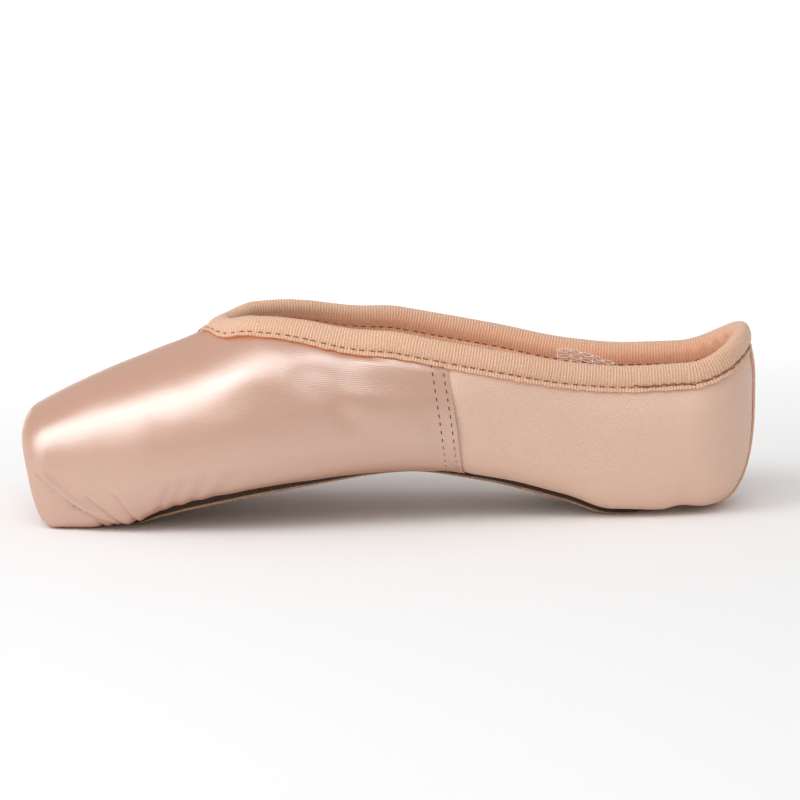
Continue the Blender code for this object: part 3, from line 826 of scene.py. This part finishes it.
def collar_line():
    """The collar's edge from the throat right round: points, outward normals and ways."""
    ways = np.concatenate((np.linspace(66.0, 80.0, 120), np.linspace(80.2, BACK_WAY, 320)))
    near, near_out = on_last(ways, 1.0, -1.0)
    far, far_out = on_last(ways[::-1][1:], 1.0, 1.0)
    points, outs = np.vstack((near, far)), np.vstack((near_out, far_out))
    travel = travelled(points)
    even = np.linspace(0.0, travel[-1], RIM_STEPS, endpoint=False)
    line = blurred(at_travel(even, travel, points), 3)
    out = unit(blurred(at_travel(even, travel, outs), 10))
    return line, out, even / MM, travel[-1] / MM


def last_surface():
    """Both halves of the last as one tree, to lay the ribbon and the tape on."""
    columns, rows = LAST.shape[:2]
    faces = [(c * rows + r, c * rows + r + 1, (c + 1) * rows + r + 1, (c + 1) * rows + r)
             for c in range(17, columns - 1) for r in range(rows - 1)]
    left = LAST.reshape(-1, 3)
    right = left * np.array((1.0, -1.0, 1.0))
    faces += [tuple(len(left) + i for i in face[::-1]) for face in faces]
    return BVHTree.FromPolygons([tuple(p) for p in np.vstack((left, right))], faces)


RIM, RIM_OUT, RIM_WAY, RIM_LENGTH = collar_line()
RIM_RUN = unit(blurred(np.roll(RIM, -1, 0) - np.roll(RIM, 1, 0), 4))
RIM_DOWN = unit(np.cross(RIM_RUN, RIM_OUT))
RIM_OUT = unit(np.cross(RIM_DOWN, RIM_RUN))
SURFACE = last_surface()
STITCH_PITCH = RIM_LENGTH / round(RIM_LENGTH / 3.0)
RIBBON_SIDES = len(OUTER_LEG) + len(ROLL) + len(INNER_LEG)


def below_rim(index, distance):
    """Point on the last and its outward normal, so far in mm below the collar's edge."""
    found, out = SURFACE.find_nearest(Vector(RIM[index] + RIM_DOWN[index] * distance * MM))[:2]
    if out.dot(Vector(RIM_OUT[index])) < 0.0:
        out.negate()
    return np.array(found), np.array(out)


def leg_share(way, inside=False):
    """The ribbon is turned in narrower beside the throat, so its edge draws to a point."""
    legs = BINDING_TURNED if inside else BINDING_LEG
    return along(legs, min(way, RIM_LENGTH - way)) / FULL_LEG


def crinkle(way, scale, seed):
    """Uneven waviness along the collar, the same where it closes."""
    turn = way / RIM_LENGTH * 2.0 * math.pi
    radius = RIM_LENGTH / (2.0 * math.pi * scale)
    return noise.noise(Vector((radius * math.cos(turn), radius * math.sin(turn), seed)))


def binding_ring(index):
    way = RIM_WAY[index]
    pull = 0.5 + 0.5 * math.cos(2.0 * math.pi * way / STITCH_PITCH)
    heel = math.exp(-((abs(way - RIM_LENGTH / 2.0) - 14.0) / 16.0) ** 2)
    ring = []
    rows = [(row, 1.0) for row in OUTER_LEG] + [(row, 0.0) for row in ROLL]
    rows += [(row, -1.0) for row in INNER_LEG]
    for (down, out), side in rows:
        reach = down * leg_share(way, side < 0.0) if down > 1.2 else down
        edge = max(0.0, (down - 7.3) / 2.0)
        row = math.exp(-((down - SEW_LINE) / 0.9) ** 2)
        puff = math.exp(-((down - 4.0) / 2.6) ** 2)
        swell = 0.16 * puff * crinkle(way, 3.1, 4.0) - 0.26 * row * pull
        swell += edge * (0.30 * crinkle(way, 2.4, 9.0) + 0.12)
        gathers = math.sin(2.0 * math.pi * way / 6.2 + 2.0 * crinkle(way, 9.0, 6.0))
        swell += (0.55 if side < 0.0 else 0.14) * puff * heel * gathers
        reach += edge * 0.35 * crinkle(way, 2.0, 1.0)
        out += swell * (side if side else 0.0)
        if side == 0.0 or reach < 1.3:
            ring.append(RIM[index] + RIM_DOWN[index] * reach * MM + RIM_OUT[index] * out * MM)
        else:
            spot, normal = below_rim(index, reach)
            ring.append(spot + normal * out * MM)
    return ring


def ribbed_ribbon(name, colour, dark):
    """Ribbed ribbon: fine cross ribs, slightly uneven, with a soft dry sheen."""
    finish, shader, add, math_node, links = finish_of(
        name, colour, 0.62, Sheen_Weight=0.35, Sheen_Roughness=0.45, Specular_IOR_Level=0.35)
    uv, one, two = cloth_ways(add, math_node, 0.0)
    wander = add("ShaderNodeTexNoise", uv, None, 0.3, 2.0).outputs[0]
    phase = math_node("MULTIPLY_ADD", wander, 1.2,
                      math_node("MULTIPLY", one, 2.0 * math.pi / RIB_PITCH))
    ribs = math_node("SINE", phase)
    threads = math_node("SINE", math_node("MULTIPLY", two, 2.0 * math.pi / 0.62))
    height = math_node("MULTIPLY_ADD", threads, 0.22, ribs)
    raise_grain(add, shader, links, height, 0.7, 0.00016)
    specks = add("ShaderNodeTexNoise", uv, None, 1.6, 2.0).outputs[0]
    tone = math_node("MULTIPLY_ADD", height, 0.15, math_node("MULTIPLY", specks, 0.6))
    shade = shade_between(add, tone, dark, colour, (0.10, 0.50))
    # Painted shadow: the ribbon's lower lip, its first 0.8 mm round the section, is multiplied by a
    # deep orange.
    edge = shade_between(add, two, (1.0, 0.42, 0.22, 1.0), (1.0, 1.0, 1.0, 1.0), (0.25, 0.8),
                         "EASE")
    multiply_over(add, shader, links, shade, edge, 1.0)
    # Painted light: a warm orange emission on the inner leg, and on the heel tape's last millimetre
    # across.
    inner = math_node("MINIMUM", 1.0, math_node("MAXIMUM", 0.0, math_node(
        "MULTIPLY", math_node("SUBTRACT", two, PAINTED_GLOW_FROM), 0.35)))
    shader.inputs["Emission Color"].default_value = (1.0, 0.36, 0.18, 1.0)
    links.new(math_node("MULTIPLY", inner, PAINTED_GLOW_STRENGTH), shader.inputs["Emission Strength"])
    return finish


RINGS = np.array([binding_ring(index) for index in range(RIM_STEPS)])
SIDE_GIRTH = np.linalg.norm(np.diff(RINGS[200], axis=0, append=RINGS[200][:1]), axis=1) / MM
SIDE_WAY = np.concatenate(((0.0,), np.cumsum(SIDE_GIRTH)))


def ribbon_sheet(u, v):
    """The grid rolled up round the ribbon's section, and laid along the whole collar."""
    side = np.rint(u * RIBBON_SIDES).astype(int)
    step = np.rint(v * RIM_STEPS).astype(int)
    points = RINGS[step % RIM_STEPS, side % RIBBON_SIDES]
    return points, np.stack((v * RIM_LENGTH, SIDE_WAY[side]), 1)


binding = close_sheets([lay_sheet("ribbon_sheet", RIBBON_SIDES, RIM_STEPS, ribbon_sheet)],
                       "collar_ribbon", 0.0,
                       ribbed_ribbon("collar_ribbon", (0.90, 0.605, 0.430, 1.0),
                                     (0.70, 0.365, 0.215, 1.0)))
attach(binding, "root")
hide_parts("binding")

# ---------------------------------------------------------------------------------------------
# Machine stitches: brown lockstitches along the binding, outside and inside, with a second run
# over the first at the heel, and two rows of matching thread where the vamp meets a quarter.
# ---------------------------------------------------------------------------------------------
THREAD_BROWN = (0.21, 0.082, 0.034, 1.0)
THREAD_THICKNESS = 0.38
STITCH_LENGTH = 1.8
OVERSEWN_LENGTH = 2.7       # the second run's longer stitches


def thread_finish(name, colour):
    """Twisted sewing thread."""
    finish, shader, add, math_node, links = finish_of(name, colour, 0.55, Sheen_Weight=0.3)
    where = add("ShaderNodeTexCoord").outputs["Object"]
    twist = add("ShaderNodeTexNoise", where, None, 3200.0, 2.0).outputs[0]
    raise_grain(add, shader, links, twist, 0.6, 0.0001)
    links.new(shade_between(add, twist, tinted(colour, 0.6), tinted(colour, 1.5)),
              shader.inputs["Base Color"])
    return finish


def one_stitch():
    """A single stitch, 1 long and 1 thick: it rises out of the cloth, lies flat and dips back."""
    bpy.ops.mesh.primitive_cylinder_add(vertices=8, radius=0.5, depth=1.0,
                                        rotation=(0.0, math.pi / 2.0, 0.0))
    bpy.ops.object.transform_apply(location=True, rotation=True, scale=True)
    stitch = bpy.context.object
    bpy.ops.object.mode_set(mode="EDIT")
    for cut in (-0.44, -0.34, -0.15, 0.15, 0.34, 0.44):
        bpy.ops.mesh.select_all(action="SELECT")
        bpy.ops.mesh.bisect(plane_co=(cut, 0.0, 0.0), plane_no=(1.0, 0.0, 0.0))
    bpy.ops.object.mode_set(mode="OBJECT")
    points = np.array([vertex.co for vertex in stitch.data.vertices])
    faces = [tuple(face.vertices) for face in stitch.data.polygons]
    bpy.data.objects.remove(stitch, do_unlink=True)
    return points, faces


STITCH_POINTS, STITCH_FACES = one_stitch()


def sew(name, places, thickness, finish):
    """One stitch copied to each (centre, run, out, length) place, all joined as one thread."""
    points, faces = [], []
    ends = np.abs(STITCH_POINTS[:, 0]) * 2.0
    dip = np.clip((ends - 0.55) / 0.45, 0.0, 1.0) ** 2
    slim = 1.0 - 0.55 * np.clip((ends - 0.7) / 0.3, 0.0, 1.0)
    for centre, run, out, length in places:
        across = np.cross(out, run)
        start = len(points) * len(STITCH_POINTS)
        laid = centre + np.outer(STITCH_POINTS[:, 0] * length * MM, run)
        laid += np.outer(STITCH_POINTS[:, 1] * slim * thickness * MM, across)
        laid += np.outer((STITCH_POINTS[:, 2] * slim - dip * 0.9) * thickness * MM, out)
        points.append(laid)
        faces += [tuple(start + i for i in face) for face in STITCH_FACES]
    mesh = bpy.data.meshes.new(name)
    mesh.from_pydata([tuple(p) for p in np.vstack(points)], [], faces)
    mesh.materials.append(finish)
    thread = bpy.data.objects.new(name, mesh)
    bpy.context.collection.objects.link(thread)
    bpy.context.view_layer.objects.active = thread
    thread.select_set(True)
    bpy.ops.object.mode_set(mode="EDIT")
    bpy.ops.mesh.select_all(action="SELECT")
    bpy.ops.mesh.normals_make_consistent(inside=False)
    bpy.ops.object.mode_set(mode="OBJECT")
    bpy.ops.object.shade_smooth()
    bpy.ops.object.select_all(action="DESELECT")
    return thread


def at_way(values, way):
    """A value of the collar's line at any way along it."""
    index = way / RIM_LENGTH * RIM_STEPS
    low = int(math.floor(index)) % RIM_STEPS
    share = index - math.floor(index)
    return values[low] * (1.0 - share) + values[(low + 1) % RIM_STEPS] * share


def ribbon_place(way, down, out, length, slant=0.0):
    index = int(round(way / RIM_LENGTH * RIM_STEPS)) % RIM_STEPS
    spot, normal = below_rim(index, down * leg_share(way % RIM_LENGTH, out < 0.0))
    run = at_way(RIM_RUN, way) + at_way(RIM_DOWN, way) * slant
    run = run - normal * run.dot(normal)
    facing = normal if out > 0.0 else -normal
    return spot + normal * out * MM, unit(run), facing, length


outer_row, inner_row, second_row = [], [], []
for count in range(round(RIM_LENGTH / STITCH_PITCH)):
    middle = (count + 0.5) * STITCH_PITCH
    lean = 0.10 * crinkle(middle, 3.0, 12.0)
    outer_row.append(ribbon_place(middle, SEW_LINE, 0.66, STITCH_LENGTH, lean))
    inner_row.append(ribbon_place(middle, SEW_LINE, -2.38, STITCH_LENGTH, -lean))
    to_heel = RIM_LENGTH / 2.0 - middle
    if 6.0 < to_heel < 52.0 or -30.0 < to_heel < -8.0:
        gap = 0.25 + 1.1 * crinkle(middle, 5.0, 2.0)
        second_row.append(ribbon_place(middle + 1.5, SEW_LINE - gap, 0.95, OVERSEWN_LENGTH,
                                       lean + 0.25))
for way, down, slant in ((-1.6, 8.2, 0.2), (0.3, 9.8, 1.2), (1.6, 8.0, -0.3)):
    second_row.append(ribbon_place(way % RIM_LENGTH, down, 0.8, 2.4, slant))
brown_thread = thread_finish("brown_thread", THREAD_BROWN)
for name, row in (("binding_stitches", outer_row), ("binding_stitches_inside", inner_row),
                  ("heel_stitches", second_row)):
    thread = sew(name, row, THREAD_THICKNESS, brown_thread)
    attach(thread, "root")

SEAM_PITCH = 2.7
SEAM_ROWS = (1.6, 5.2)      # ahead of the vamp's rear edge
SEAM_ENDS = (0.30, 0.93)    # shares of the way up the side
SEAM_STITCH = 1.35
SEAM_THICKNESS = 0.36
seam_places = []
for side in (-1.0, 1.0):
    for ahead in SEAM_ROWS:
        shares = np.linspace(*SEAM_ENDS, 200)
        line, outs = vamp_surface(seam_way(shares) - ahead, shares, side)
        travel = travelled(line)
        for middle in np.arange(SEAM_PITCH / 2.0, travel[-1] / MM, SEAM_PITCH):
            spot = at_travel(middle * MM, travel, line)
            run = unit(at_travel((middle + 0.5) * MM, travel, line) - spot)
            out = unit(at_travel(middle * MM, travel, outs))
            seam_places.append((spot + out * 0.10 * MM, run, out, SEAM_STITCH))


def seam_finish():
    """Peach thread, turning dark brown towards the top of the seam: its colour goes by height."""
    finish, shader, add, math_node, links = finish_of("seam_thread", (0.5, 0.25, 0.15, 1.0), 0.6)
    level = add("ShaderNodeSeparateXYZ", add("ShaderNodeTexCoord").outputs["Object"]).outputs[2]
    share = add("ShaderNodeMapRange", level, 0.021, 0.031, 0.0, 1.0).outputs[0]
    links.new(shade_between(add, share, (0.56, 0.30, 0.20, 1.0), (0.13, 0.045, 0.02, 1.0)),
              shader.inputs["Base Color"])
    return finish


seam_thread = sew("seam_stitches", seam_places, SEAM_THICKNESS, seam_finish())
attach(seam_thread, "root")

# ---------------------------------------------------------------------------------------------
# Back seam tape: the same ribbon, its colours painted a little lighter than the binding's,
# stitched over the heel seam from the binding down and round under the heel to the outsole.
# ---------------------------------------------------------------------------------------------
TAPE_WIDTH = 9.0
TAPE_THICKNESS = 0.8
TAPE_END = 208.5
HEEL_INSIDE = Vector((0.095, 0.0, 0.032))


def tape_line():
    """Middle line of the tape, evenly spaced from the outsole up to the binding."""
    middle = LAST[-1]
    under = [place(station, 0.0, underside(station)) for station in (TAPE_END, 210.5, 212.5)]
    up = [point for point in middle if point[0] > (HEEL_CENTRE - LENGTH / 2.0) * MM]
    stop = RIM[RIM_STEPS // 2][2] - (BINDING_LEG[-1][1] - 0.7) * MM
    run = np.array(under + [point for point in up if point[2] < stop])
    return evenly(run, 150)[0]


def tape_sheet(u, v):
    line = tape_line()
    count = len(line)
    index = np.clip(v * (count - 1), 0, count - 1.001)
    low = index.astype(int)
    share = (index - low)[:, None]
    middle = line[low] * (1.0 - share) + line[low + 1] * share
    travel = np.linalg.norm(np.diff(line, axis=0), axis=1).sum() / MM
    points = []
    for spot, side in zip(middle, u):
        across = (side - 0.5) * TAPE_WIDTH * MM
        found, out = SURFACE.find_nearest(Vector((spot[0], across, spot[2])))[:2]
        if out.dot(Vector((spot[0], across * 0.4, spot[2])) - HEEL_INSIDE) < 0.0:
            out.negate()
        proud = TAPE_THICKNESS + 0.18 - 0.25 * abs(side - 0.5) * 2.0
        points.append(found + out * proud * MM)
    cloth = np.stack((v * travel, 5.0 + u * TAPE_WIDTH), 1)
    return np.array(points), cloth


# Painted light: the tape's colours are a little lighter than the binding's, for the same ribbon.
tape = close_sheets([lay_sheet("tape_sheet", 14, 149, tape_sheet)], "heel_tape", 0.6,
                    ribbed_ribbon("heel_ribbon", (0.95, 0.60, 0.430, 1.0),
                                  (0.78, 0.40, 0.240, 1.0)))
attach(tape, "root")
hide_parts("back_seam_tape")

# ---------------------------------------------------------------------------------------------
# Netting tape: a short piece of white open net, sewn inside the right quarter under the binding.
# ---------------------------------------------------------------------------------------------
NET_COLUMNS = (176.8, 181.2, 184.4, 188.2, 191.7, 195.0)
NET_TOPS = (1.5, 0.9, 1.5, 2.1, 3.4, 4.1)       # below the collar's edge, at each column
NET_ROWS = 8
NET_PITCH = 1.9
NET_COLUMN_THREAD = 0.42
NET_CROSS_THREAD = 0.24
NET_WHITE = (0.95, 0.92, 0.89, 1.0)


def net_point(way, below, lift):
    """A point inside the right quarter, so far in mm below the collar's edge."""
    spot, out = on_last(way, 1.0 - below / girth_at(way), 1.0)
    return Vector(spot - out * (along(WALL, min(way, 215.0)) + 2.4 + lift) * MM)


def net_thread(points, thickness, swells):
    curve = bpy.data.curves.new("net_thread", "CURVE")
    curve.dimensions = "3D"
    curve.bevel_depth = thickness / 2.0 * MM
    curve.bevel_resolution = 1
    curve.use_fill_caps = True
    spline = curve.splines.new("POLY")
    spline.points.add(len(points) - 1)
    for target, point, swell in zip(spline.points, points, swells):
        target.co = (*point, 1.0)
        target.radius = swell
    thread = bpy.data.objects.new("net_thread", curve)
    bpy.context.collection.objects.link(thread)
    return thread


def net_top(way):
    return np.interp(way, NET_COLUMNS, NET_TOPS)


net_threads = []
for way in NET_COLUMNS:
    runs = np.linspace(-0.35, (NET_ROWS - 1) * NET_PITCH + 0.3, NET_ROWS * 9)
    knots = 1.0 + 0.75 * np.cos(runs / NET_PITCH * 2.0 * math.pi) ** 3
    net_threads.append(net_thread([net_point(way, net_top(way) + r, 0.35) for r in runs],
                                  NET_COLUMN_THREAD, np.maximum(knots, 0.7)))
for row in range(NET_ROWS):
    for bow in (-1.0, 1.0):
        for start, end in zip(NET_COLUMNS, NET_COLUMNS[1:]):
            ways = np.linspace(start, end, 12)
            bends = 0.55 * bow * np.sin(math.pi * (ways - start) / (end - start))
            net_threads.append(net_thread(
                [net_point(w, net_top(w) + row * NET_PITCH + b, 0.3 + 0.15 * bow)
                 for w, b in zip(ways, bends)], NET_CROSS_THREAD, np.ones(12)))
for thread in net_threads:
    thread.select_set(True)
net = net_threads[0]
bpy.context.view_layer.objects.active = net
bpy.ops.object.convert(target="MESH")
bpy.ops.object.join()
net.name = "netting_tape"
net.data.name = "netting_tape"
net.data.materials.clear()
net.data.materials.append(thread_finish("white_thread", NET_WHITE))
bpy.ops.object.shade_smooth()
bpy.ops.object.select_all(action="DESELECT")
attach(net, "root")

# ---------------------------------------------------------------------------------------------
# Studio: a pale floor lit from behind, a long soft light above the camera's side, another by
# the toe, and an even pale surround.
# ---------------------------------------------------------------------------------------------
SHOE_MIDDLE = (0.0, 0.0, 0.03)
LIGHT_DISTANCE = 1.25
SURROUND = 0.57
bpy.ops.mesh.primitive_plane_add(size=12.0, location=(0.0, 0.0, 0.0))
floor = bpy.context.object
floor.name = "floor"
floor.data.name = "floor"
floor.data.materials.append(finish_of("floor", (0.95, 0.95, 0.95, 1.0), 0.9)[0])

world = bpy.data.worlds.new("studio")
bpy.context.scene.world = world
world.use_nodes = True
world.node_tree.nodes["Background"].inputs["Color"].default_value = (1.0, 1.0, 1.0, 1.0)
world.node_tree.nodes["Background"].inputs["Strength"].default_value = SURROUND


def softbox(name, spot, aim, width, height, power):
    light = bpy.data.lights.new(name, "AREA")
    light.shape = "RECTANGLE"
    light.size = width
    light.size_y = height
    light.energy = power
    holder = bpy.data.objects.new(name, light)
    bpy.context.collection.objects.link(holder)
    holder.location = spot
    holder.rotation_euler = (Vector(aim) - Vector(spot)).to_track_quat("-Z", "Y").to_euler()
    return holder


def from_shoe(azimuth, rise):
    """A light's place as seen from the shoe: azimuth 0 is in front of it, 90 at the heel."""
    turn, climb = math.radians(azimuth), math.radians(rise)
    level = LIGHT_DISTANCE * math.cos(climb)
    return (level * math.sin(turn), -level * math.cos(turn),
            LIGHT_DISTANCE * math.sin(climb) + SHOE_MIDDLE[2])


softbox("key", from_shoe(-22.0, 59.0), SHOE_MIDDLE, 1.3, 0.52, 4.9)
softbox("toe_side", from_shoe(-63.0, 34.0), SHOE_MIDDLE, 0.80, 0.95, 5.6)
behind = softbox("floor_light", (0.0, 2.0, 1.5), (0.0, 2.0, 0.0), 6.0, 2.8, 120.0)
behind.data.spread = math.radians(50.0)

CAMERA_RISE = 12.0
CAMERA_ROLL = -0.9
CAMERA_DISTANCE = 0.985
low, high = (Vector(corner) for corner in cad_box)
aim = (low + high) / 2.0 + Vector((0.0033, 0.0, 0.0025))
camera_data = bpy.data.cameras.new("camera")
camera_data.lens = 135.0
camera_data.sensor_width = 36.0
camera = bpy.data.objects.new("camera", camera_data)
bpy.context.collection.objects.link(camera)
rise = math.radians(CAMERA_RISE)
back = Vector((0.0, -math.cos(rise), math.sin(rise)))
roll = math.radians(CAMERA_ROLL)
level_right = Vector((1.0, 0.0, 0.0))
level_up = back.cross(level_right)
right = level_right * math.cos(roll) + level_up * math.sin(roll)
up = level_up * math.cos(roll) - level_right * math.sin(roll)
turned = Matrix((right, up, back)).transposed().to_4x4()
turned.translation = aim + back * CAMERA_DISTANCE
camera.matrix_world = turned
bpy.context.scene.camera = camera
bpy.context.scene.view_settings.view_transform = "Standard"
